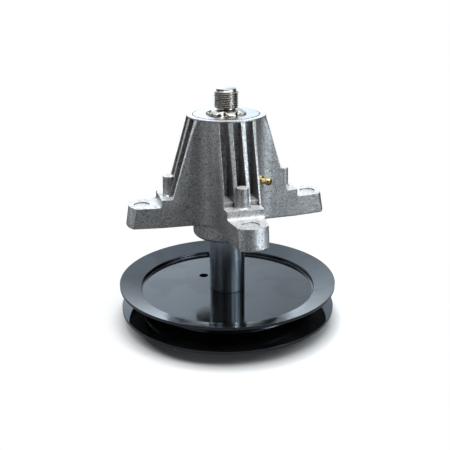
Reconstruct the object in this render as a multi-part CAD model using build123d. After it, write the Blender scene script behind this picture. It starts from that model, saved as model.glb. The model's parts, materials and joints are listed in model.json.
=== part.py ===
from build123d import *
import math
import os

# Mower deck spindle standing with its blade end up, in millimetres, Z up.
# The origin is on the spindle axis, in the plane of the ears that bolts to the deck.

# Fits and clearances, all radial
LOCATING_GAP = 0.01
RUNNING_GAP = 0.05
SLEEVE_GAP = 0.12
FREE_GAP = 0.35
THREAD_GAP = 0.02

# Length by which a cut or a joined form runs into its neighbour
OVERLAP = 1.0

# Alignment of a solid that stands on its own origin
UPWARD = (Align.CENTER, Align.CENTER, Align.MIN)

# Thread of the blade end and of the pulley nut
THREAD_R = 7.938
THREAD_NECK_R = 6.1
THREAD_CHAMFER = 1.2
THREAD_EDGE = 0.3
THREAD_LEAD_R = 6.6

# Ball bearings, the same size at both ends
BEARING_BORE_R = 8.5
BEARING_R = 20.0
BEARING_W = 12.0
BALL_SHARE = 0.295
RACE_WALL_SHARE = 0.325
GROOVE_SHARE = 1.04
BALL_COUNT = 8
BEARING_SECTION = BEARING_R - BEARING_BORE_R
BALL_R = BALL_SHARE * BEARING_SECTION
RACE_WALL = RACE_WALL_SHARE * BEARING_SECTION
INNER_SHOULDER_R = BEARING_BORE_R + RACE_WALL
OUTER_SHOULDER_R = BEARING_R - RACE_WALL
PITCH_R = (BEARING_BORE_R + BEARING_R) / 2
GROOVE_R = GROOVE_SHARE * BALL_R
RACE_CHAMFER = 0.6
SEAL_THICK = 0.8
SEAL_RECESS = 0.35
SEAL_SEAT_DEPTH = 0.7
CAGE_EDGE = 0.8
CAGE_HALF_HEIGHT = BALL_R + CAGE_EDGE
CAGE_BAND_SHARE = 0.33
CAGE_HALF_BAND = CAGE_BAND_SHARE * BALL_R
POCKET_GAP = 0.1
BALL_TURN = (0, 0, 45)

# Housing casting: heights over the deck plane
EAR_TOP = 14.0
SHELF_TOP = 19.1
POST_TOP = 32.0
CHANNEL_TOP = 69.7
RIM_TOP = 70.7
BOSS_DROP = 11.4

# Housing casting: outline seen from above
LEG_COUNT = 4
LEG_ROOT_HALF = 13.5
LEG_SHELF_HALF = 11.9
EAR_END_HALF = 8.7
SHELF_END = 46.0
EAR_ARC_AXIS = 53.1
EAR_ARC_R = 13.1
EAR_DRAFT = 2.3
FOOT_EDGE = 1.3
OUTLINE_END = 70.0
CORNER_FILLET = 15.0
STEP_FILLET = 2.2

# Housing casting: hub, rim, boss and slope of the leg faces
RIM_R = 25.9
SLOPE_TOP_R = 25.8
SLOPE_FOOT_R = 40.6
HUB_TOP_R = 22.4
HUB_FOOT_R = 23.6
BOSS_R = 23.0
BOSS_FILLET = 2.7

# Housing casting: ribs, channels and ejector posts
CHANNEL_PITCH = 8.1
CHANNEL_OFFSETS = (-1, 0, 1)
CHANNEL_MOUTH_HALF = 3.05
CHANNEL_FLOOR_HALF = 2.5
LEDGE_RISE = 2.7
LEDGE_R = 36.5
POST_AXIS = 39.2
POST_FOOT_R = 4.15
POST_TOP_R = 3.85
POST_FLARE = 1.0

# Bolt holes of the ears, blind from the deck side, and the round recess over each
BOLT_CIRCLE_R = 57.6
BOLT_HOLE_R = 3.7
BOLT_HOLE_FLOOR = 2.2
EAR_RECESS_R = 5.2
EAR_RECESS = 0.8

# Dust shield on the shaft shoulder, just proud of the rim of the casting
SHIELD_PROUD = 0.1
SHIELD_TOP = RIM_TOP + SHIELD_PROUD
SHIELD_THICK = 1.6
SHIELD_R = 21.8
SHIELD_CHAMFER = 0.3

# Shaft: star, neck, thread and plain lead stand on each other above the shield
STAR_RISE = 2.7
THREAD_NECK = 1.3
THREAD_LENGTH = 10.6
THREAD_LEAD = 1.7
STAR_TOP = SHIELD_TOP + STAR_RISE
THREAD_FOOT = STAR_TOP + THREAD_NECK
THREAD_TOP = THREAD_FOOT + THREAD_LENGTH
SHAFT_TOP = THREAD_TOP + THREAD_LEAD
STAR_POINTS = 6
STAR_TURN = 34.0
STAR_POINT_R = 17.8
STAR_TIP_R = 13.2
STAR_VALLEY_R = 9.8
STAR_TOP_CONE_R = 9.8
STAR_EDGE = 0.7
SHOULDER_R = 11.6
SHAFT_R = BEARING_BORE_R - LOCATING_GAP

# Levels of the bearings on the shaft
LOWER_BEARING_RECESS = 0.3
LOWER_BEARING_FOOT = LOWER_BEARING_RECESS - BOSS_DROP
LOWER_BEARING_TOP = LOWER_BEARING_FOOT + BEARING_W
UPPER_BEARING_DEPTH = 5.1
UPPER_BEARING_TOP = SHIELD_TOP - UPPER_BEARING_DEPTH
UPPER_BEARING_FOOT = UPPER_BEARING_TOP - BEARING_W
CAVITY_R = 17.4

# Spacers on the shaft
SPACER_BORE_R = SHAFT_R + SLEEVE_GAP
INNER_SPACER_R = 11.6
TUBE_R = 12.3
TUBE_CHAMFER = 0.4

# V-belt pulley of two pressed sheets
SHEET = 2.0
WEB_TOP = -51.75
UPPER_RIM_TOP = -45.1
LOWER_RIM_FOOT = -64.3
UPPER_RIM_R = 74.8
LOWER_RIM_R = 74.0
UPPER_BEND_R = 60.3
UPPER_BEND_DROP = 4.2
LOWER_BEND_R = 56.5
LOWER_BEND_RISE = 3.2
SHEET_BEND = 1.0
LOCATING_HOLE_R = 3.2
LOCATING_HOLE_AXIS = 25.4
LOCATING_HOLE_ANGLE = 118.0
PULLEY_FLAT_HALF = 6.8
PULLEY_BORE_R = THREAD_R + THREAD_GAP
WEB_FOOT = WEB_TOP - 2 * SHEET

# Flange nut under the pulley
NUT_FLANGE_R = 16.5
NUT_FLANGE_EDGE = 1.6
NUT_FLANGE_RISE = 3.4
NUT_FLATS = 23.8
NUT_HEIGHT = 17.0
NUT_CHAMFER = 1.2
NUT_FOOT = WEB_FOOT - NUT_HEIGHT
SHAFT_END_RECESS = 0.6
SHAFT_FOOT = NUT_FOOT + SHAFT_END_RECESS

# Grease fitting in the hub, between two legs
GREASE_ANGLE = -45.0
GREASE_LEVEL = 29.2
GREASE_FACE = 24.3
GREASE_THREAD_R = 3.0
GREASE_THREAD_CHAMFER = 0.6
GREASE_THREAD_LENGTH = 5.6
GREASE_FLATS = 5.8
GREASE_HEX = 2.2
GREASE_NECK_R = 1.95
GREASE_HEAD_R = 2.5
GREASE_HEAD = 3.1
GREASE_HEAD_FLARE = 0.7
GREASE_HEAD_BAND = 0.8
GREASE_LENGTH = 8.6
GREASE_SEAT = 0.6
GREASE_BORE_R = 1.45
GREASE_MOUTH_R = 0.95
GREASE_BALL_R = 1.25
GREASE_SPRING_WIRE_R = 0.2
GREASE_SPRING_R = 0.95
GREASE_SPRING_PITCH = 1.3
GREASE_SPRING_INSET = 1.0
GREASE_PASSAGE_R = 1.6


def spin(points):
    """Turn a closed outline of radius and height points into a solid of revolution."""
    outline = make_face(Polyline(*points, close=True))
    return revolve(Plane.XZ * outline, axis=Axis.Z)


def ring(inner_r, outer_r, foot, top):
    """Plain ring between two radii and two heights."""
    return spin([(inner_r, foot), (outer_r, foot), (outer_r, top), (inner_r, top)])


def around(shape, count, start=0.0):
    """Copies of a shape at even steps around the spindle axis."""
    return [Rot(0, 0, start + 360 / count * i) * shape for i in range(count)]


def leg_outline():
    """Tapered outline of one leg from above, along +X, running past the end of its ear."""
    side = [(0, LEG_ROOT_HALF), (SHELF_END, LEG_SHELF_HALF), (OUTLINE_END, EAR_END_HALF)]
    return make_face(Polyline(*side, *[(x, -y) for x, y in reversed(side)], close=True))


def cross_outline():
    """The four legs from above, with the wide fillets of the walls between them."""
    cross = Sketch() + around(leg_outline(), LEG_COUNT)
    inner = cross.vertices().sort_by(lambda v: math.hypot(v.X, v.Y))[:LEG_COUNT]
    return fillet(inner, CORNER_FILLET)


def leg_bounds():
    """Space that bounds a leg: shelf, filleted step and ear with an arched, drafted end."""
    ear_start = SHELF_END + STEP_FILLET
    middle = STEP_FILLET * (1 - math.sqrt(0.5))
    root = ThreePointArc(
        (ear_start, EAR_TOP),
        (SHELF_END + middle, EAR_TOP + middle),
        (SHELF_END, EAR_TOP + STEP_FILLET),
    )
    ear = Polyline((0, 0), (EAR_ARC_AXIS, 0), (EAR_ARC_AXIS, EAR_TOP), (ear_start, EAR_TOP))
    shelf = Polyline((SHELF_END, EAR_TOP + STEP_FILLET), (SHELF_END, SHELF_TOP), (0, SHELF_TOP), (0, 0))
    arm = extrude(Plane.XZ * make_face([ear, root, shelf]), amount=LEG_ROOT_HALF, both=True)
    end = Pos(EAR_ARC_AXIS, 0, 0) * Cone(EAR_ARC_R + EAR_DRAFT, EAR_ARC_R, EAR_TOP, align=UPWARD)
    return arm + end


def channel():
    """Cut between two ribs of a leg, narrowing towards the hub, with a ledge at its foot."""
    root = HUB_TOP_R - OVERLAP
    mouth = SLOPE_FOOT_R + OVERLAP
    ledge_top = SHELF_TOP + LEDGE_RISE
    plan = make_face(
        Polyline(
            (root, -CHANNEL_FLOOR_HALF),
            (mouth, -CHANNEL_MOUTH_HALF),
            (mouth, CHANNEL_MOUTH_HALF),
            (root, CHANNEL_FLOOR_HALF),
            close=True,
        )
    )
    side = make_face(
        Polyline(
            (root, ledge_top),
            (LEDGE_R, ledge_top),
            (LEDGE_R, SHELF_TOP),
            (mouth, SHELF_TOP),
            (mouth, CHANNEL_TOP),
            (root, CHANNEL_TOP),
            close=True,
        )
    )
    band = extrude(plan, amount=RIM_TOP)
    bounds = extrude(Plane.XZ * side, amount=CHANNEL_MOUTH_HALF, both=True)
    return band & bounds


def ejector_post():
    """Tapered post on the shelf of a leg, with a flared foot."""
    foot = spin(
        [
            (0, -OVERLAP),
            (POST_FOOT_R + POST_FLARE, -OVERLAP),
            (POST_FOOT_R + POST_FLARE, 0),
            (POST_FOOT_R, POST_FLARE),
            (0, POST_FLARE),
        ]
    )
    shank = Pos(0, 0, -OVERLAP) * Cone(
        POST_FOOT_R, POST_TOP_R, POST_TOP - SHELF_TOP + OVERLAP, align=UPWARD
    )
    return Pos(POST_AXIS, 0, SHELF_TOP) * (foot + shank)


def housing_body():
    """Solid form of the casting before its bores: legs, ribs, hub, rim, boss and posts."""
    prism = extrude(cross_outline(), amount=RIM_TOP)
    cone = spin(
        [(0, 0), (SLOPE_FOOT_R, 0), (SLOPE_FOOT_R, SHELF_TOP), (SLOPE_TOP_R, CHANNEL_TOP), (0, CHANNEL_TOP)]
    )
    body = prism & (cone + around(leg_bounds(), LEG_COUNT))
    # The edges round the deck face are rounded
    body = fillet(body.faces().sort_by(Axis.Z)[0].edges(), FOOT_EDGE)
    hub = spin([(0, 0), (HUB_FOOT_R, 0), (HUB_TOP_R, CHANNEL_TOP), (0, CHANNEL_TOP)])
    cuts = [Pos(0, CHANNEL_PITCH * i, 0) * channel() for i in CHANNEL_OFFSETS]
    for cut in cuts:
        body -= around(cut - hub, LEG_COUNT)
    body += around(ejector_post(), LEG_COUNT)
    body += ring(HUB_TOP_R - OVERLAP, RIM_R, CHANNEL_TOP, RIM_TOP)
    boss = Pos(0, 0, -BOSS_DROP) * Cylinder(BOSS_R, BOSS_DROP + OVERLAP, align=UPWARD)
    foot = boss.edges().filter_by(GeomType.CIRCLE).sort_by(Axis.Z)[0]
    return body + fillet(foot, BOSS_FILLET)


def grease_frame():
    """Frame of the grease fitting: its Z points out of the hub wall, from the spindle axis."""
    return Rot(0, 0, GREASE_ANGLE) * Pos(0, 0, GREASE_LEVEL) * Rot(0, 90, 0)


def housing():
    """One-piece cast housing with its bearing seats, grease passage and bolt holes."""
    seat_r = BEARING_R + LOCATING_GAP
    recess_r = SHIELD_R + FREE_GAP
    recess_floor = SHIELD_TOP - SHIELD_THICK - FREE_GAP
    bore = spin(
        [
            (0, -BOSS_DROP - OVERLAP),
            (seat_r, -BOSS_DROP - OVERLAP),
            (seat_r, LOWER_BEARING_TOP),
            (CAVITY_R, LOWER_BEARING_TOP),
            (CAVITY_R, UPPER_BEARING_FOOT),
            (seat_r, UPPER_BEARING_FOOT),
            (seat_r, recess_floor),
            (recess_r, recess_floor),
            (recess_r, RIM_TOP + OVERLAP),
            (0, RIM_TOP + OVERLAP),
        ]
    )
    hole_depth = EAR_TOP - EAR_RECESS - BOLT_HOLE_FLOOR
    bolt_hole = Pos(BOLT_CIRCLE_R, 0, -OVERLAP) * Cylinder(
        BOLT_HOLE_R, hole_depth + OVERLAP, align=UPWARD
    )
    recess = Pos(BOLT_CIRCLE_R, 0, EAR_TOP - EAR_RECESS) * Cylinder(
        EAR_RECESS_R, EAR_RECESS + OVERLAP, align=UPWARD
    )
    thread_foot = GREASE_FACE - GREASE_THREAD_LENGTH - FREE_GAP
    outside = GREASE_FACE + GREASE_HEX
    tapped = Pos(0, 0, thread_foot) * Cylinder(
        GREASE_THREAD_R + THREAD_GAP, outside - thread_foot, align=UPWARD
    )
    passage = Pos(0, 0, CAVITY_R - OVERLAP) * Cylinder(
        GREASE_PASSAGE_R, GREASE_FACE - CAVITY_R + OVERLAP, align=UPWARD
    )
    body = housing_body() - bore - around(bolt_hole, LEG_COUNT) - around(recess, LEG_COUNT)
    return body - grease_frame() * tapped - grease_frame() * passage


def star():
    """Six-pointed blade seat, its points cut off round and turned to a cone."""
    points = []
    for i in range(2 * STAR_POINTS):
        angle = math.radians(STAR_TURN) + math.pi / STAR_POINTS * i
        reach = STAR_POINT_R if i % 2 == 0 else STAR_VALLEY_R
        points.append((reach * math.cos(angle), reach * math.sin(angle)))
    outline = make_face(Polyline(*points, close=True))
    prism = Pos(0, 0, SHIELD_TOP) * extrude(outline, amount=STAR_TOP - SHIELD_TOP)
    turned = spin(
        [
            (0, SHIELD_TOP),
            (STAR_TIP_R, SHIELD_TOP),
            (STAR_TIP_R, SHIELD_TOP + STAR_EDGE),
            (STAR_TOP_CONE_R, STAR_TOP),
            (0, STAR_TOP),
        ]
    )
    return prism & turned


def spindle_shaft():
    """Shaft with blade thread, star, bearing journal, pulley seat and nut thread."""
    turned = spin(
        [
            (0, SHAFT_FOOT),
            (THREAD_R - THREAD_CHAMFER, SHAFT_FOOT),
            (THREAD_R, SHAFT_FOOT + THREAD_CHAMFER),
            (THREAD_R, WEB_TOP),
            (SHAFT_R, WEB_TOP),
            (SHAFT_R, UPPER_BEARING_TOP),
            (SHOULDER_R, UPPER_BEARING_TOP),
            (SHOULDER_R, SHIELD_TOP),
            (THREAD_NECK_R, SHIELD_TOP),
            (THREAD_NECK_R, THREAD_FOOT),
            (THREAD_R - THREAD_EDGE, THREAD_FOOT),
            (THREAD_R, THREAD_FOOT + THREAD_EDGE),
            (THREAD_R, THREAD_TOP - THREAD_EDGE),
            (THREAD_R - THREAD_EDGE, THREAD_TOP),
            (THREAD_LEAD_R, THREAD_TOP),
            (THREAD_LEAD_R, SHAFT_TOP - THREAD_EDGE),
            (THREAD_LEAD_R - THREAD_EDGE, SHAFT_TOP),
            (0, SHAFT_TOP),
        ]
    )
    half_width = PULLEY_FLAT_HALF - THREAD_GAP
    side = Pos(0, half_width, WEB_FOOT) * Box(
        2 * THREAD_R, THREAD_R, WEB_TOP - WEB_FOOT, align=(Align.CENTER, Align.MIN, Align.MIN)
    )
    return turned + star() - around(side, 2)


def dust_shield():
    """Round shield pressed on the shaft shoulder, level with the rim of the casting."""
    under = SHIELD_TOP - SHIELD_THICK
    bore_r = SHOULDER_R + LOCATING_GAP
    return spin(
        [
            (bore_r, under),
            (SHIELD_R, under),
            (SHIELD_R, SHIELD_TOP - SHIELD_CHAMFER),
            (SHIELD_R - SHIELD_CHAMFER, SHIELD_TOP),
            (bore_r, SHIELD_TOP),
        ]
    )


def race(side, shoulder_r, back):
    """Race about its own middle plane: its back outline closed by the ball groove.

    side is 1 for the outer race and -1 for the inner one.
    """
    groove_axis = PITCH_R + side * (BALL_R + RUNNING_GAP - GROOVE_R)
    half_groove = math.sqrt(GROOVE_R**2 - (shoulder_r - groove_axis) ** 2)
    arc = ThreePointArc(
        (shoulder_r, half_groove),
        (groove_axis + side * GROOVE_R, 0),
        (shoulder_r, -half_groove),
    )
    outline = Polyline((shoulder_r, -half_groove), *back, (shoulder_r, half_groove))
    return revolve(Plane.XZ * make_face([arc, outline]), axis=Axis.Z)


def inner_race():
    """Inner race of a ball bearing."""
    half = BEARING_W / 2
    back = [
        (INNER_SHOULDER_R, -half),
        (BEARING_BORE_R + RACE_CHAMFER, -half),
        (BEARING_BORE_R, -half + RACE_CHAMFER),
        (BEARING_BORE_R, half - RACE_CHAMFER),
        (BEARING_BORE_R + RACE_CHAMFER, half),
        (INNER_SHOULDER_R, half),
    ]
    return race(-1, INNER_SHOULDER_R, back)


def outer_race():
    """Outer race of a ball bearing, with the steps that hold its two seals."""
    half = BEARING_W / 2
    seat = half - SEAL_RECESS - SEAL_THICK
    step_r = OUTER_SHOULDER_R + SEAL_SEAT_DEPTH
    back = [
        (OUTER_SHOULDER_R, -seat),
        (step_r, -seat),
        (step_r, -half),
        (BEARING_R - RACE_CHAMFER, -half),
        (BEARING_R, -half + RACE_CHAMFER),
        (BEARING_R, half - RACE_CHAMFER),
        (BEARING_R - RACE_CHAMFER, half),
        (step_r, half),
        (step_r, seat),
        (OUTER_SHOULDER_R, seat),
    ]
    return race(1, OUTER_SHOULDER_R, back)


def ball_set():
    """The balls of one bearing on their pitch circle."""
    ball = Pos(PITCH_R, 0, 0) * Rot(BALL_TURN) * Sphere(BALL_R)
    return Compound(children=around(ball, BALL_COUNT))


def ball_cage():
    """Moulded cage: a ring with a round pocket for every ball."""
    body = ring(PITCH_R - CAGE_HALF_BAND, PITCH_R + CAGE_HALF_BAND, -CAGE_HALF_HEIGHT, CAGE_HALF_HEIGHT)
    pocket_length = 2 * (CAGE_HALF_BAND + OVERLAP)
    pocket = Pos(PITCH_R, 0, 0) * Rot(0, 90, 0) * Cylinder(BALL_R + POCKET_GAP, pocket_length)
    return body - around(pocket, BALL_COUNT)


def seal():
    """Upper seal of a bearing: snapped into the outer race, its lip on the inner race."""
    top = BEARING_W / 2 - SEAL_RECESS
    return ring(
        INNER_SHOULDER_R + RUNNING_GAP,
        OUTER_SHOULDER_R + SEAL_SEAT_DEPTH - LOCATING_GAP,
        top - SEAL_THICK + LOCATING_GAP,
        top,
    )


def sleeve(outer_r, foot, top):
    """Spacer tube on the shaft with small chamfers at its outer edges."""
    edge = TUBE_CHAMFER
    return spin(
        [
            (SPACER_BORE_R, foot),
            (outer_r - edge, foot),
            (outer_r, foot + edge),
            (outer_r, top - edge),
            (outer_r - edge, top),
            (SPACER_BORE_R, top),
        ]
    )


def pressed_sheet(web_top, bend_r, bend_top, rim_r, rim_top):
    """Pressed disc: flat web, short wall and sloping flange of one sheet thickness."""
    outside = SHEET if bend_top < web_top else 0
    points = [
        (0, web_top),
        (bend_r + outside, web_top),
        (bend_r + outside, bend_top),
        (rim_r, rim_top),
        (rim_r, rim_top - SHEET),
        (bend_r + SHEET - outside, bend_top - SHEET),
        (bend_r + SHEET - outside, web_top - SHEET),
        (0, web_top - SHEET),
    ]
    outline = make_face(Polyline(*points, close=True))
    bends = [v for v in outline.vertices() if bend_r - OVERLAP < v.X < bend_r + SHEET + OVERLAP]
    outline = fillet(bends, SHEET_BEND)
    bore_outline = Circle(PULLEY_BORE_R) & Rectangle(2 * PULLEY_BORE_R, 2 * PULLEY_FLAT_HALF)
    bore = extrude(bore_outline, amount=2 * SHEET, both=True)
    hole = Pos(LOCATING_HOLE_AXIS, 0, 0) * Cylinder(LOCATING_HOLE_R, 2 * (SHEET + OVERLAP))
    cuts = [bore, Rot(0, 0, LOCATING_HOLE_ANGLE) * hole]
    return revolve(Plane.XZ * outline, axis=Axis.Z) - [Pos(0, 0, web_top) * cut for cut in cuts]


def pulley_upper_sheet():
    """Sheet that carries the web seen from above and the upper flank of the belt groove."""
    bend_top = UPPER_RIM_TOP - UPPER_BEND_DROP
    return pressed_sheet(WEB_TOP, UPPER_BEND_R, bend_top, UPPER_RIM_R, UPPER_RIM_TOP)


def pulley_lower_sheet():
    """Sheet under the web: floor of the belt groove and its lower flank."""
    rim_top = LOWER_RIM_FOOT + SHEET
    bend_top = rim_top + LOWER_BEND_RISE
    return pressed_sheet(WEB_TOP - SHEET, LOWER_BEND_R - SHEET, bend_top, LOWER_RIM_R, rim_top)


def pulley_nut():
    """Hexagon flange nut that clamps the pulley and the spacers."""
    flange = spin(
        [
            (0, WEB_FOOT),
            (NUT_FLANGE_R, WEB_FOOT),
            (NUT_FLANGE_R, WEB_FOOT - NUT_FLANGE_EDGE),
            (NUT_FLATS / 2, WEB_FOOT - NUT_FLANGE_RISE),
            (0, WEB_FOOT - NUT_FLANGE_RISE),
        ]
    )
    hexagon = extrude(RegularPolygon(NUT_FLATS / 2, 6, major_radius=False), amount=NUT_HEIGHT)
    corner_r = NUT_FLATS / math.sqrt(3)
    turned = spin(
        [
            (0, NUT_FOOT),
            (corner_r - NUT_CHAMFER, NUT_FOOT),
            (corner_r, NUT_FOOT + NUT_CHAMFER),
            (corner_r, WEB_FOOT),
            (0, WEB_FOOT),
        ]
    )
    bore = Pos(0, 0, NUT_FOOT - OVERLAP) * Cylinder(
        THREAD_R + THREAD_GAP, NUT_HEIGHT + 2 * OVERLAP, align=UPWARD
    )
    return flange + (Pos(0, 0, NUT_FOOT) * hexagon & turned) - bore


def grease_body():
    """Grease fitting: tapped shank, hexagon, neck, head and through bore, in its own frame."""
    shank_foot = GREASE_FACE - GREASE_THREAD_LENGTH
    tip = GREASE_FACE + GREASE_LENGTH
    head_foot = tip - GREASE_HEAD
    hex_foot = GREASE_FACE + FREE_GAP
    turned = spin(
        [
            (0, shank_foot),
            (GREASE_THREAD_R - GREASE_THREAD_CHAMFER, shank_foot),
            (GREASE_THREAD_R, shank_foot + GREASE_THREAD_CHAMFER),
            (GREASE_THREAD_R, hex_foot),
            (GREASE_NECK_R, hex_foot),
            (GREASE_NECK_R, head_foot),
            (GREASE_HEAD_R, head_foot + GREASE_HEAD_FLARE),
            (GREASE_HEAD_R, head_foot + GREASE_HEAD_FLARE + GREASE_HEAD_BAND),
            (GREASE_NECK_R, tip),
            (0, tip),
        ]
    )
    hexagon = extrude(RegularPolygon(GREASE_FLATS / 2, 6, major_radius=False), amount=GREASE_HEX)
    seat = tip - GREASE_BORE_R
    bore = spin(
        [
            (0, shank_foot - OVERLAP),
            (GREASE_BORE_R, shank_foot - OVERLAP),
            (GREASE_BORE_R, seat),
            (GREASE_MOUTH_R, seat + GREASE_SEAT),
            (GREASE_MOUTH_R, tip + OVERLAP),
            (0, tip + OVERLAP),
        ]
    )
    return turned + Pos(0, 0, hex_foot) * hexagon - bore


def grease_ball():
    """Check ball that closes the mouth of the grease fitting."""
    tip = GREASE_FACE + GREASE_LENGTH
    return Pos(0, 0, tip - GREASE_BORE_R - GREASE_BALL_R / 2) * Sphere(GREASE_BALL_R)


def grease_spring():
    """Coil spring that holds the check ball against its seat."""
    foot = GREASE_FACE - GREASE_THREAD_LENGTH + GREASE_SPRING_INSET
    top = GREASE_FACE + GREASE_LENGTH - GREASE_BORE_R - 2 * GREASE_BALL_R
    path = Pos(0, 0, foot) * Helix(GREASE_SPRING_PITCH, top - foot, GREASE_SPRING_R)
    wire = Plane(origin=path @ 0, z_dir=path % 0) * Circle(GREASE_SPRING_WIRE_R)
    return sweep(wire, path=path)


def save(shape, name):
    """Write one piece as a STEP file under its node name."""
    export_step(shape, "parts/" + name + ".step")


def main():
    os.makedirs("parts", exist_ok=True)
    save(housing(), "spindle_housing")
    save(spindle_shaft(), "spindle_shaft")
    save(dust_shield(), "dust_shield")
    save(sleeve(INNER_SPACER_R, LOWER_BEARING_TOP, UPPER_BEARING_FOOT), "bearing_spacer")
    save(sleeve(TUBE_R, WEB_TOP, LOWER_BEARING_FOOT), "pulley_spacer_tube")
    save(pulley_upper_sheet(), "pulley_upper_sheet")
    save(pulley_lower_sheet(), "pulley_lower_sheet")
    save(pulley_nut(), "pulley_nut")
    for place, foot in (("lower", LOWER_BEARING_FOOT), ("upper", UPPER_BEARING_FOOT)):
        level = Pos(0, 0, foot + BEARING_W / 2)
        save(level * inner_race(), place + "_bearing_inner_race")
        save(level * outer_race(), place + "_bearing_outer_race")
        save(level * ball_set(), place + "_bearing_balls")
        save(level * ball_cage(), place + "_bearing_cage")
        save(level * seal(), place + "_bearing_top_seal")
        save(level * Rot(180, 0, 0) * seal(), place + "_bearing_bottom_seal")
    save(grease_frame() * grease_body(), "grease_fitting_body")
    save(grease_frame() * grease_ball(), "grease_fitting_ball")
    save(grease_frame() * grease_spring(), "grease_fitting_spring")


main()
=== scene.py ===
import bmesh
import bpy
import json
import math
from mathutils import Matrix, Vector


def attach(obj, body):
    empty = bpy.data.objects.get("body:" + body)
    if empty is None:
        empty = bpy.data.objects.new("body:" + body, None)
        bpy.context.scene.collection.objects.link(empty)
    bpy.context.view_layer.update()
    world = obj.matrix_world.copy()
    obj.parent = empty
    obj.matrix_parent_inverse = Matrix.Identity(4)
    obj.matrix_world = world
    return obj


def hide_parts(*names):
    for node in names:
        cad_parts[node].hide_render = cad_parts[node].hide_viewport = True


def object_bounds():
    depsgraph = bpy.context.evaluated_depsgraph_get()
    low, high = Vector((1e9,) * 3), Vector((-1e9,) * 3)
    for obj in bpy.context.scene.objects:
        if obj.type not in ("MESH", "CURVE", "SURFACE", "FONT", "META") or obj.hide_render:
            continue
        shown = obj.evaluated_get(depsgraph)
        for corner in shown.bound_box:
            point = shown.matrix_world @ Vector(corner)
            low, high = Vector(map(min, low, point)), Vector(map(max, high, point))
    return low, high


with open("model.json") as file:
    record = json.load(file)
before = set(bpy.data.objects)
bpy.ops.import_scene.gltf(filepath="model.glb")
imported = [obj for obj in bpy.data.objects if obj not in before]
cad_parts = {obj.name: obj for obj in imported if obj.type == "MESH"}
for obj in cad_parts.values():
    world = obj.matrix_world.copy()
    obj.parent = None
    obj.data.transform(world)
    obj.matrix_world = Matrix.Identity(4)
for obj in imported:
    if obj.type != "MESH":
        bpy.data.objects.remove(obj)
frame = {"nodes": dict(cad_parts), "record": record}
CAD_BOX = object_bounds()
NODES = frame["nodes"]
MM = 0.001
PULLEY_R = CAD_BOX[1][0]
FLOOR_LEVEL = CAD_BOX[0][2]
WHITE = (1.0, 1.0, 1.0, 1.0)

# Sockets of the colour mix node
MIX_FACTOR = 0
MIX_A = 6
MIX_B = 7
MIX_RESULT = 2


# Node helpers

def new_material(name):
    """Empty node material with its output and a principled shader."""
    mat = bpy.data.materials.new(name)
    mat.use_nodes = True
    tree = mat.node_tree
    tree.nodes.clear()
    out = tree.nodes.new("ShaderNodeOutputMaterial")
    shader = tree.nodes.new("ShaderNodeBsdfPrincipled")
    tree.links.new(shader.outputs["BSDF"], out.inputs["Surface"])
    return mat, tree, shader


def node(tree, kind, sockets=None, **values):
    """New node with its properties and its sockets (by name or index) set or linked."""
    made = tree.nodes.new(kind)
    for key, value in values.items():
        setattr(made, key, value)
    for socket, content in (sockets or {}).items():
        if isinstance(content, bpy.types.NodeSocket):
            tree.links.new(content, made.inputs[socket])
        else:
            made.inputs[socket].default_value = content
    return made


def coords(tree):
    """Place on the object, in metres."""
    return node(tree, "ShaderNodeTexCoord").outputs["Object"]


def split(tree, vector):
    """The x, y and z of a vector."""
    return node(tree, "ShaderNodeSeparateXYZ", {0: vector}).outputs


def noise(tree, scale, detail=2.0, rough=0.5, vector=None):
    """Noise texture; scale is features per metre."""
    sockets = {"Vector": vector or coords(tree), "Scale": scale, "Detail": detail, "Roughness": rough}
    return node(tree, "ShaderNodeTexNoise", sockets).outputs["Fac"]


def span(tree, value, low, high, start=0.0, end=1.0):
    """Value taken from low to high, clamped, and given back as start to end."""
    return node(tree, "ShaderNodeMapRange", {0: value, 1: low, 2: high, 3: start, 4: end}).outputs[0]


def ramp(tree, fac, stops):
    """Colour ramp with (position, colour) stops; a colour may be one grey value."""
    made = node(tree, "ShaderNodeValToRGB", {"Fac": fac})
    elements = made.color_ramp.elements
    while len(elements) < len(stops):
        elements.new(0.5)
    for element, (position, colour) in zip(elements, stops):
        element.position = position
        grey = isinstance(colour, (int, float))
        element.color = (colour, colour, colour, 1.0) if grey else (*colour, 1.0)
    return made.outputs["Color"]


def math_node(tree, operation, a, b=0.0):
    """One step of arithmetic on one or two values."""
    return node(tree, "ShaderNodeMath", {0: a, 1: b}, operation=operation).outputs[0]


def mix(tree, fac, a, b, blend="MIX"):
    """Two colours mixed; each is a socket or a tuple of three."""
    made = node(tree, "ShaderNodeMix", {MIX_FACTOR: fac}, data_type="RGBA", blend_type=blend)
    for index, value in ((MIX_A, a), (MIX_B, b)):
        if isinstance(value, bpy.types.NodeSocket):
            tree.links.new(value, made.inputs[index])
        else:
            made.inputs[index].default_value = (*value, 1.0)
    return made.outputs[MIX_RESULT]


def multiply(tree, a, b):
    """Two colours multiplied."""
    return mix(tree, 1.0, a, b, "MULTIPLY")


def bump(tree, height, strength, distance, normal=None):
    """Normal pushed by a height pattern; the distance is in metres."""
    sockets = {"Strength": strength, "Distance": distance, "Height": height}
    if normal is not None:
        sockets["Normal"] = normal
    return node(tree, "ShaderNodeBump", sockets).outputs["Normal"]


def soft_edges(tree, radius):
    """Normal that rounds every edge by a small radius."""
    return node(tree, "ShaderNodeBevel", {"Radius": radius}, samples=6).outputs["Normal"]


def openness(tree, distance):
    """How open the piece's own surroundings are within a distance: 0 in a deep corner, 1 in the open."""
    sockets = {"Distance": distance}
    return node(tree, "ShaderNodeAmbientOcclusion", sockets, samples=8, only_local=True).outputs["AO"]


def surface_rise(tree, normal):
    """Z of the surface normal: 1 on a level top, 0 on an upright wall."""
    return split(tree, node(tree, "ShaderNodeNewGeometry").outputs[normal])[2]


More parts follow.
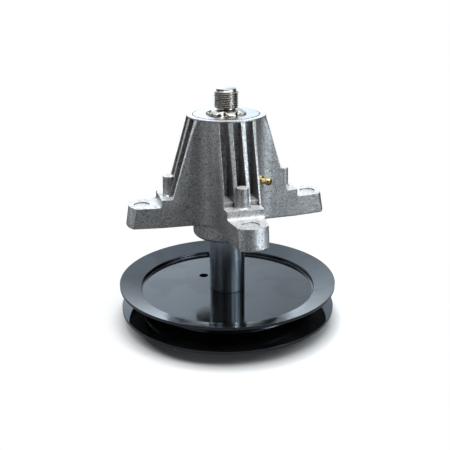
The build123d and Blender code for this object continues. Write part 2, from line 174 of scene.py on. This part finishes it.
def camera_sees(tree, seen, lit, out):
    """Camera rays meet one shader, all other rays the other one."""
    path = node(tree, "ShaderNodeLightPath")
    sockets = {0: path.outputs["Is Camera Ray"], 1: lit.outputs[0], 2: seen.outputs[0]}
    blend = node(tree, "ShaderNodeMixShader", sockets)
    tree.links.new(blend.outputs[0], out.inputs["Surface"])


# Cast aluminium: noise scales in features per metre, reaches and depths in metres

CAST_FINE_SCALE = 2400.0
CAST_GRAIN_SCALE = 820.0
CAST_FLOW_SCALE = 120.0
CAST_HOLLOW_REACH = 7 * MM
CAST_CORNER_REACH = 1.4 * MM
CAST_EDGE_R = 0.45 * MM
CAST_GRAIN_DEPTH = 0.36 * MM
CAST_FINE_DEPTH = 0.14 * MM
# Between these heights over the deck face the painted shade in the hollows fades, up to this share
SHADE_FADE_FROM = 30 * MM
SHADE_FADE_TO = 68 * MM
SHADE_FADE_SHARE = 0.65
# A face whose normal rises from the first to the second value counts more and more as a top
TOP_FROM = 0.6
TOP_TO = 0.95
BARE_METALLIC = 0.92
TOP_METALLIC = 0.28


def cast_aluminium():
    """Die-cast skin: salt-and-pepper grain, painted shade in the hollows and corners, painted light on the
    tops, which are less metallic.
    """
    mat, tree, shader = new_material("cast_aluminium")
    fine = noise(tree, CAST_FINE_SCALE, 2.0, 0.6)
    grain = noise(tree, CAST_GRAIN_SCALE, 3.0, 0.7)
    flow = noise(tree, CAST_FLOW_SCALE, 3.0, 0.55)
    tone = ramp(tree, flow, [(0.32, 0.55), (0.68, 0.66)])
    specks = ramp(tree, grain, [(0.36, 0.42), (0.47, 0.92), (0.56, 0.98), (0.66, 1.35)])

    hollow = openness(tree, CAST_HOLLOW_REACH)
    height = split(tree, coords(tree))[2]
    shade_fade = span(tree, height, SHADE_FADE_FROM, SHADE_FADE_TO, 0.0, SHADE_FADE_SHARE)
    upward = span(tree, surface_rise(tree, "Normal"), TOP_FROM, TOP_TO)
    # Painted shade: the colour darkens in deep hollows, less so higher up
    painted_shade_and_light = mix(tree, shade_fade, ramp(tree, hollow, [(0.25, 0.34), (0.72, 1.0)]), (1.0, 1.0, 1.0))
    # Painted light: level tops are made paler, most of all where they sit in deep hollows
    painted_top_light = ramp(tree, hollow, [(0.35, 1.8), (0.75, 1.18)])
    painted_shade_and_light = mix(tree, upward, painted_shade_and_light, painted_top_light)
    # Painted shade: the colour darkens in tight corners
    corners = ramp(tree, openness(tree, CAST_CORNER_REACH), [(0.42, 0.35), (0.72, 1.0)])

    colour = multiply(tree, multiply(tree, tone, specks), multiply(tree, painted_shade_and_light, corners))
    colour.node.clamp_result = True
    tree.links.new(colour, shader.inputs["Base Color"])
    tree.links.new(ramp(tree, grain, [(0.3, 0.46), (0.7, 0.34)]), shader.inputs["Roughness"])
    metallic = span(tree, upward, 0.0, 1.0, BARE_METALLIC, TOP_METALLIC)
    tree.links.new(metallic, shader.inputs["Metallic"])
    normal = bump(tree, grain, 0.60, CAST_GRAIN_DEPTH, soft_edges(tree, CAST_EDGE_R))
    tree.links.new(bump(tree, fine, 0.40, CAST_FINE_DEPTH, normal), shader.inputs["Normal"])
    return mat


# Black paint of the pulley

PAINT_FILM_SCALE = 38.0
PAINT_PEEL_SCALE = 420.0
PAINT_PEEL_DEPTH = 0.15 * MM
PAINT_EDGE_R = 0.35 * MM
PAINT_IOR = 1.52
PAINT_GLOSS_TINT = (0.73, 0.84, 1.0, 1.0)


def black_paint():
    """Gloss black paint with faint orange peel and dull smudges."""
    mat, tree, shader = new_material("black_paint")
    film = noise(tree, PAINT_FILM_SCALE, 3.0, 0.5)
    tree.links.new(ramp(tree, film, [(0.40, 0.003), (0.62, 0.007)]), shader.inputs["Base Color"])
    tree.links.new(ramp(tree, film, [(0.50, 0.055), (0.62, 0.13)]), shader.inputs["Roughness"])
    tree.links.new(ramp(tree, film, [(0.50, 0.54), (0.58, 0.43)]), shader.inputs["Specular IOR Level"])
    shader.inputs["IOR"].default_value = PAINT_IOR
    shader.inputs["Specular Tint"].default_value = PAINT_GLOSS_TINT
    peel = noise(tree, PAINT_PEEL_SCALE, 1.0, 0.4)
    normal = bump(tree, peel, 0.03, PAINT_PEEL_DEPTH, soft_edges(tree, PAINT_EDGE_R))
    tree.links.new(normal, shader.inputs["Normal"])
    return mat


# Turned metal, and sheet metal whose sides can get painted shade

MARKS_SCALE = 130.0
MARKS_SHADE = 0.86
RING_DEPTH = 0.06 * MM
BRUSH_TURN = 0.25
# Painted shade on faces that aren't level: the share of colour left, and the rise of the normal over which it
# fades out
PAINTED_SIDE_SHADE = 0.07
SIDE_SHADE_BELOW = 0.8
FLAT_ABOVE = 0.95


def turned_metal(name, base, rough, rings, spread, edge=0.25, brushed=0.0, painted_side_shade=False):
    """
    Lathe-turned metal with fine rings, as many per metre as rings says.

    The roughness varies by the spread, the edges are rounded by so many mm, brushed is the
    strength of the streaks round the axis, and the last flag darkens every face that isn't level
    with painted shade.
    """
    mat, tree, shader = new_material(name)
    x, y, z = split(tree, coords(tree))
    squares = math_node(tree, "ADD", math_node(tree, "MULTIPLY", x, x), math_node(tree, "MULTIPLY", y, y))
    along = math_node(tree, "ADD", math_node(tree, "SQRT", squares), z)
    line = node(tree, "ShaderNodeCombineXYZ", {0: along}).outputs[0]
    ring = noise(tree, rings, 2.0, 0.6, line)
    marks = noise(tree, MARKS_SCALE, 3.0, 0.6)
    colour = ramp(tree, marks, [(0.35, tuple(c * MARKS_SHADE for c in base)), (0.65, base)])
    # Painted shade: faces that aren't level, such as the shield's edge, turn near black
    if painted_side_shade:
        level = surface_rise(tree, "True Normal")
        colour = multiply(tree, colour, span(tree, level, SIDE_SHADE_BELOW, FLAT_ABOVE, PAINTED_SIDE_SHADE, 1.0))
    tree.links.new(colour, shader.inputs["Base Color"])
    shader.inputs["Metallic"].default_value = 1.0
    roughness = ramp(tree, ring, [(0.3, rough - spread), (0.7, rough + spread)])
    tree.links.new(roughness, shader.inputs["Roughness"])
    normal = bump(tree, ring, 0.10, RING_DEPTH, soft_edges(tree, edge * MM))
    tree.links.new(normal, shader.inputs["Normal"])
    if brushed:
        tangent = node(tree, "ShaderNodeTangent", direction_type="RADIAL", axis="Z")
        tree.links.new(tangent.outputs[0], shader.inputs["Tangent"])
        shader.inputs["Anisotropic"].default_value = brushed
        shader.inputs["Anisotropic Rotation"].default_value = BRUSH_TURN
    return mat


# Drawn and moulded materials inside the part

GRAIN_SHADE = 0.8
GRAIN_DEPTH = 0.1 * MM


def plain_grained(name, base, rough, metallic, scale, strength):
    """Moulded or drawn material with a fine grain."""
    mat, tree, shader = new_material(name)
    grain = noise(tree, scale, 2.0, 0.6)
    colour = ramp(tree, grain, [(0.35, tuple(c * GRAIN_SHADE for c in base)), (0.65, base)])
    tree.links.new(colour, shader.inputs["Base Color"])
    tree.links.new(ramp(tree, grain, [(0.3, rough * 0.9), (0.7, rough * 1.1)]), shader.inputs["Roughness"])
    shader.inputs["Metallic"].default_value = metallic
    tree.links.new(bump(tree, grain, strength, GRAIN_DEPTH), shader.inputs["Normal"])
    return mat


MATERIALS = {
    "cast_aluminium": cast_aluminium(),
    "black_paint": black_paint(),
    "turned_steel": turned_metal("turned_steel", (0.46, 0.44, 0.405), 0.24, 3500.0, 0.05, edge=0.12),
    "shield_steel": turned_metal("shield_steel", (0.47, 0.48, 0.50), 0.22, 2500.0, 0.04, painted_side_shade=True),
    "zinc_plate": turned_metal("zinc_plate", (0.62, 0.74, 0.83), 0.22, 3500.0, 0.03, brushed=0.7),
    "brass": turned_metal("brass", (0.62, 0.48, 0.24), 0.20, 3000.0, 0.03, edge=0.10),
    "bearing_steel": turned_metal("bearing_steel", (0.70, 0.70, 0.72), 0.15, 4000.0, 0.03),
    "spring_steel": plain_grained("spring_steel", (0.42, 0.42, 0.43), 0.35, 1.0, 900.0, 0.2),
    "seal_rubber": plain_grained("seal_rubber", (0.03, 0.03, 0.03), 0.7, 0.0, 900.0, 0.3),
    "cage_plastic": plain_grained("cage_plastic", (0.75, 0.68, 0.50), 0.5, 0.0, 700.0, 0.2),
}

for part in frame["record"]["subparts"]:
    obj = NODES[part["node"]]
    obj.data.materials.clear()
    obj.data.materials.append(MATERIALS[part["material_slot"]])


# Threaded shaft, in mm: the plain stub of the frame's shaft gives way to a helical thread

SHAFT_TOP = round(CAD_BOX[1][2] / MM, 3)
LEAD_LENGTH = 1.7
LEAD_R = 6.6
THREAD_LENGTH = 10.6
THREAD_R = 7.938
THREAD_NECK_R = 6.1
THREAD_NECK = 0.3
THREAD_PITCH = 25.4 / 18
THREAD_DEPTH = 0.80
THREAD_EDGE = 0.3
THREAD_TOP = SHAFT_TOP - LEAD_LENGTH
THREAD_FOOT = THREAD_TOP - THREAD_LENGTH
CUT = THREAD_FOOT - THREAD_NECK
# The wave of the flank is cut off at the root and at the crest, which leaves both flat
ROOT_SHARE = 0.10
FLANK_SHARE = 0.72
TURN_STEPS = 120
ROWS_PER_PITCH = 14
# Distances in metres under which vertices become one, and edges go
MERGE_SOURCE = 1e-6
MERGE_STUB = 2e-7
SMALLEST_EDGE = 1e-7


def thread_radius(z, phase):
    """Radius of the thread at a height: phase 0 to 1 runs over one pitch, flat at crest and root."""
    wave = 0.5 + 0.5 * math.cos(2 * math.pi * phase)
    flank = min(1.0, max(0.0, (wave - ROOT_SHARE) / FLANK_SHARE))
    cut = THREAD_R - THREAD_DEPTH * (1 - flank)
    to_end = min(z - THREAD_FOOT, THREAD_TOP - z)
    return min(cut, THREAD_R - max(0.0, THREAD_EDGE - to_end))


def turned_point(bm, radius, turn, z):
    """Vertex at a radius and height in mm and at a share of a turn, in metres."""
    angle = 2 * math.pi * turn
    return bm.verts.new((radius * math.cos(angle) * MM, radius * math.sin(angle) * MM, z * MM))


def loop_of(bm, radius, z):
    """One level ring of vertices."""
    return [turned_point(bm, radius, step / TURN_STEPS, z) for step in range(TURN_STEPS)]


def thread_row(bm, row):
    """One row of the helix: it climbs by a pitch in a turn, held between the thread's two ends."""
    points = []
    for step in range(TURN_STEPS):
        turn = step / TURN_STEPS
        z = THREAD_FOOT - THREAD_PITCH + (row / ROWS_PER_PITCH + turn) * THREAD_PITCH
        z = min(THREAD_TOP, max(THREAD_FOOT, z))
        radius = thread_radius(z, (z - THREAD_FOOT) / THREAD_PITCH - turn)
        points.append(turned_point(bm, radius, turn, z))
    return points


def join_loops(bm, low, high):
    """Band of faces between two level rings."""
    for i in range(TURN_STEPS):
        j = (i + 1) % TURN_STEPS
        bm.faces.new((low[i], low[j], high[j], high[i]))


def stub_mesh():
    """Helical blade end of the shaft: neck, thread, plain lead and flat top, open at its foot."""
    bm = bmesh.new()
    row_count = int(THREAD_LENGTH / THREAD_PITCH * ROWS_PER_PITCH) + 2 * ROWS_PER_PITCH
    rows = [thread_row(bm, row) for row in range(row_count)]
    last = TURN_STEPS - 1
    for low, high in zip(rows, rows[1:]):
        for i in range(last):
            bm.faces.new((low[i], low[i + 1], high[i + 1], high[i]))
    # The end of each turn meets the start of the row that lies one pitch higher
    for row in range(row_count - 1 - ROWS_PER_PITCH):
        far = row + ROWS_PER_PITCH
        bm.faces.new((rows[row][last], rows[far][0], rows[far + 1][0], rows[row + 1][last]))
    # Below the thread the neck meets the cut shaft, above it stands the plain lead
    neck = loop_of(bm, THREAD_NECK_R, CUT)
    shoulder = loop_of(bm, THREAD_NECK_R, THREAD_FOOT)
    join_loops(bm, neck, shoulder)
    join_loops(bm, shoulder, rows[0])
    below = rows[-1]
    lead = [(LEAD_R, THREAD_TOP), (LEAD_R, SHAFT_TOP - THREAD_EDGE), (LEAD_R - THREAD_EDGE, SHAFT_TOP)]
    for radius, z in lead:
        loop = loop_of(bm, radius, z)
        join_loops(bm, below, loop)
        below = loop
    bm.faces.new(below)
    bmesh.ops.remove_doubles(bm, verts=bm.verts, dist=MERGE_STUB)
    bmesh.ops.dissolve_degenerate(bm, dist=SMALLEST_EDGE, edges=bm.edges)
    loose = [v for v in bm.verts if not v.link_faces]
    bmesh.ops.delete(bm, geom=loose, context="VERTS")
    return bm


def threaded_shaft():
    """The turned shaft of the frame, its plain stub replaced by a helical thread."""
    source = NODES["spindle_shaft"]
    bm = bmesh.new()
    bm.from_mesh(source.data)
    bmesh.ops.remove_doubles(bm, verts=bm.verts, dist=MERGE_SOURCE)
    geom = bm.verts[:] + bm.edges[:] + bm.faces[:]
    bmesh.ops.bisect_plane(bm, geom=geom, plane_co=(0, 0, CUT * MM), plane_no=(0, 0, 1), clear_outer=True)
    stub = stub_mesh()
    data = bpy.data.meshes.new("stub")
    stub.to_mesh(data)
    stub.free()
    bm.from_mesh(data)
    bmesh.ops.recalc_face_normals(bm, faces=bm.faces)
    mesh = bpy.data.meshes.new("threaded_shaft")
    bm.to_mesh(mesh)
    bm.free()
    obj = bpy.data.objects.new("threaded_shaft", mesh)
    bpy.context.scene.collection.objects.link(obj)
    mesh.materials.append(MATERIALS["turned_steel"])
    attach(obj, "rotor")
    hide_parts("spindle_shaft")
    return obj


SHAFT = threaded_shaft()


# Smooth faces between crisp edges

CRISP_ANGLE = 35


def smooth(obj):
    """Shade smooth, with sharp edges where the faces meet at more than the crisp angle."""
    for polygon in obj.data.polygons:
        polygon.use_smooth = True
    if not obj.data.has_custom_normals:
        obj.data.set_sharp_from_angle(angle=math.radians(CRISP_ANGLE))


for obj in [*NODES.values(), SHAFT]:
    smooth(obj)


# Floor, in metres: near the pulley the camera sees its soft shadow, deepened by a painted shadow grey, and
# further out plain white

PAINTED_SHADOW_IN = PULLEY_R - 0.005
PAINTED_SHADOW_OUT = PULLEY_R + 0.008
PAINTED_SHADOW_GREYS = [(0.0, 0.50), (1.0, 1.05)]
FADE_CENTRE = (0.0145, -0.0035, FLOOR_LEVEL)
FADE_IN = PULLEY_R + 0.004
FADE_OUT = PULLEY_R + 0.038
# What lights the part from below is a grey ring round the pulley on a dark floor
RING_IN = PULLEY_R + 0.045
RING_OUT = PULLEY_R + 0.085
RING_GREYS = [(0.0, 0.40), (1.0, 0.045)]
FLOOR_HALF = 30.0


def away_from(tree, centre, inner, outer):
    """0 inside the inner radius around a point of the floor, 1 outside the outer one."""
    sockets = {0: coords(tree), 1: centre}
    distance = node(tree, "ShaderNodeVectorMath", sockets, operation="DISTANCE").outputs["Value"]
    return span(tree, distance, inner, outer)


def floor():
    """Wide white floor that gives less light back to the part than the camera sees on it."""
    mat = bpy.data.materials.new("floor")
    mat.use_nodes = True
    tree = mat.node_tree
    tree.nodes.clear()
    out = tree.nodes.new("ShaderNodeOutputMaterial")
    foot = (0, 0, FLOOR_LEVEL)
    # Painted shadow: the floor's colour for the camera is grey at the pulley's foot, rising to white
    painted_shadow_grey = ramp(tree, away_from(tree, foot, PAINTED_SHADOW_IN, PAINTED_SHADOW_OUT), PAINTED_SHADOW_GREYS)
    shadow = node(tree, "ShaderNodeBsdfDiffuse", {"Color": painted_shadow_grey})
    plain = node(tree, "ShaderNodeEmission", {"Color": WHITE, "Strength": 1.0})
    # Outside a circle set off centre the floor glows plain white, which trims the shadow's outline
    fade = away_from(tree, FADE_CENTRE, FADE_IN, FADE_OUT)
    seen = node(tree, "ShaderNodeMixShader", {0: fade, 1: shadow.outputs[0], 2: plain.outputs[0]})
    ring = ramp(tree, away_from(tree, foot, RING_IN, RING_OUT), RING_GREYS)
    camera_sees(tree, seen, node(tree, "ShaderNodeBsdfDiffuse", {"Color": ring}), out)
    corners = [(x * FLOOR_HALF, y * FLOOR_HALF, FLOOR_LEVEL) for x, y in ((-1, -1), (1, -1), (1, 1), (-1, 1))]
    mesh = bpy.data.meshes.new("floor")
    mesh.from_pydata(corners, [], [(0, 1, 2, 3)])
    obj = bpy.data.objects.new("floor", mesh)
    bpy.context.scene.collection.objects.link(obj)
    mesh.materials.append(mat)


# Studio of light cards: azimuth in degrees from the front to the right, height in degrees

COOL = (0.88, 1.0, 1.10)
PALE = (0.96, 1.0, 1.03)
LOW = (-30, 10)
MIDDLE = (10, 35)
HIGH = (35, 62)
LOW_TO_MIDDLE = (-30, 35)
MIDDLE_TO_HIGH = (10, 62)
OVERHEAD = (62, 100)
NARROW = 7.5
WIDE = 15
ROUND = 190
CARD_EDGE = 5.0
AMBIENT = (0.01, 0.01, 0.01)
# Middle azimuth, half width, height range, level, tint
CARDS = [
    # Left
    (-60, WIDE, LOW, 2.2, PALE),
    (-90, WIDE, LOW, 0.7, COOL),
    (-120, WIDE, LOW, 3.5, PALE),
    (-150, WIDE, LOW_TO_MIDDLE, 0.6, PALE),
    # Front, faint
    (0, WIDE, MIDDLE, 0.15, PALE),
    # Right
    (22.5, NARROW, MIDDLE_TO_HIGH, 1.3, COOL),
    (37.5, NARROW, HIGH, 0.4, PALE),
    (41, NARROW, LOW, 17.0, COOL),
    (52.5, NARROW, LOW, 4.0, PALE),
    (52.5, NARROW, HIGH, 9.5, PALE),
    (82.5, NARROW, HIGH, 4.9, PALE),
    # Behind, which the paint reflects
    (150, WIDE, LOW_TO_MIDDLE, 1.2, COOL),
    (150, WIDE, HIGH, 1.6, COOL),
    (180, WIDE, LOW, 2.6, COOL),
    (180, WIDE, MIDDLE_TO_HIGH, 1.9, COOL),
    # Above
    (0, ROUND, OVERHEAD, 0.16, PALE),
]


def studio():
    """World of light cards for the part and plain white for the camera."""
    world = bpy.data.worlds.new("studio")
    bpy.context.scene.world = world
    world.use_nodes = True
    tree = world.node_tree
    tree.nodes.clear()
    out = tree.nodes.new("ShaderNodeOutputWorld")
    x, y, z = split(tree, node(tree, "ShaderNodeTexCoord").outputs["Generated"])
    azimuth = math_node(tree, "DEGREES", math_node(tree, "ARCTAN2", x, math_node(tree, "MULTIPLY", y, -1.0)))
    height = math_node(tree, "DEGREES", math_node(tree, "ARCSINE", z))
    total = AMBIENT
    for middle, half, (foot, top), level, tint in CARDS:
        turn = math_node(tree, "SUBTRACT", azimuth, middle)
        turn = node(tree, "ShaderNodeMath", {0: turn, 1: 180.0, 2: -180.0}, operation="WRAP").outputs[0]
        turn = math_node(tree, "ABSOLUTE", turn)
        across = span(tree, turn, half + CARD_EDGE, half - CARD_EDGE)
        over_foot = span(tree, height, foot - CARD_EDGE, foot + CARD_EDGE)
        under_top = span(tree, height, top + CARD_EDGE, top - CARD_EDGE)
        inside = math_node(tree, "MULTIPLY", across, math_node(tree, "MULTIPLY", over_foot, under_top))
        card = mix(tree, inside, (0.0, 0.0, 0.0), tuple(level * c for c in tint))
        total = mix(tree, 1.0, total, card, "ADD")
    lit = node(tree, "ShaderNodeBackground", {"Color": total, "Strength": 1.0})
    seen = node(tree, "ShaderNodeBackground", {"Color": WHITE, "Strength": 1.0})
    camera_sees(tree, seen, lit, out)


# Square lamps over the part, aimed at the origin: place and side in metres, power in watts

LAMPS = [
    ((-0.28, 0.25, 1.1), 1.0, 3.8),
    ((0.3, 0.1, 1.1), 0.6, 1.6),
    ((-0.02, -0.28, 1.08), 0.8, 6.0),
    ((0.8, -0.5, 0.5), 0.5, 0.5),
]


def lamp(name, place, side, power):
    """One square area light."""
    light = bpy.data.lights.new(name, "AREA")
    light.shape = "SQUARE"
    light.size = side
    light.energy = power
    obj = bpy.data.objects.new(name, light)
    bpy.context.scene.collection.objects.link(obj)
    obj.location = place
    obj.rotation_euler = (-Vector(place)).to_track_quat("-Z", "Y").to_euler()


# Camera of the photo, from the fitted outline: place, lens and sensor in mm, angles in degrees

CAMERA_PLACE = (-116.5, -445.8, 159.9)
CAMERA_PITCH = -19.81
CAMERA_ROLL = 0.43
CAMERA_LENS = 57.3
CAMERA_SENSOR = 36.0
CAMERA_SHIFT = -0.0043
# Nearest and furthest distance that the camera shows, in metres
CAMERA_NEAR = 0.01
CAMERA_FAR = 200.0


def camera():
    """Camera that looks towards the spindle axis, tipped by its pitch and roll."""
    place = Vector(CAMERA_PLACE) * MM
    heading = math.atan2(-place.y, -place.x)
    pitch = math.radians(CAMERA_PITCH)
    roll = math.radians(CAMERA_ROLL)
    level = math.cos(pitch)
    forward = Vector((level * math.cos(heading), level * math.sin(heading), math.sin(pitch)))
    right = forward.cross(Vector((0, 0, 1))).normalized()
    up = right.cross(forward)
    tilted_up = up * math.cos(roll) + right * math.sin(roll)
    tilted_right = right * math.cos(roll) - up * math.sin(roll)
    data = bpy.data.cameras.new("camera")
    data.lens = CAMERA_LENS
    data.sensor_width = CAMERA_SENSOR
    data.shift_x = CAMERA_SHIFT
    data.clip_start = CAMERA_NEAR
    data.clip_end = CAMERA_FAR
    obj = bpy.data.objects.new("camera", data)
    bpy.context.scene.collection.objects.link(obj)
    axes = Matrix((tilted_right, tilted_up, -forward)).transposed()
    obj.matrix_world = Matrix.Translation(place) @ axes.to_4x4()
    bpy.context.scene.camera = obj


floor()
studio()
for number, (place, side, power) in enumerate(LAMPS, 1):
    lamp(f"lamp_{number}", place, side, power)
camera()
bpy.context.scene.view_settings.view_transform = "Standard"
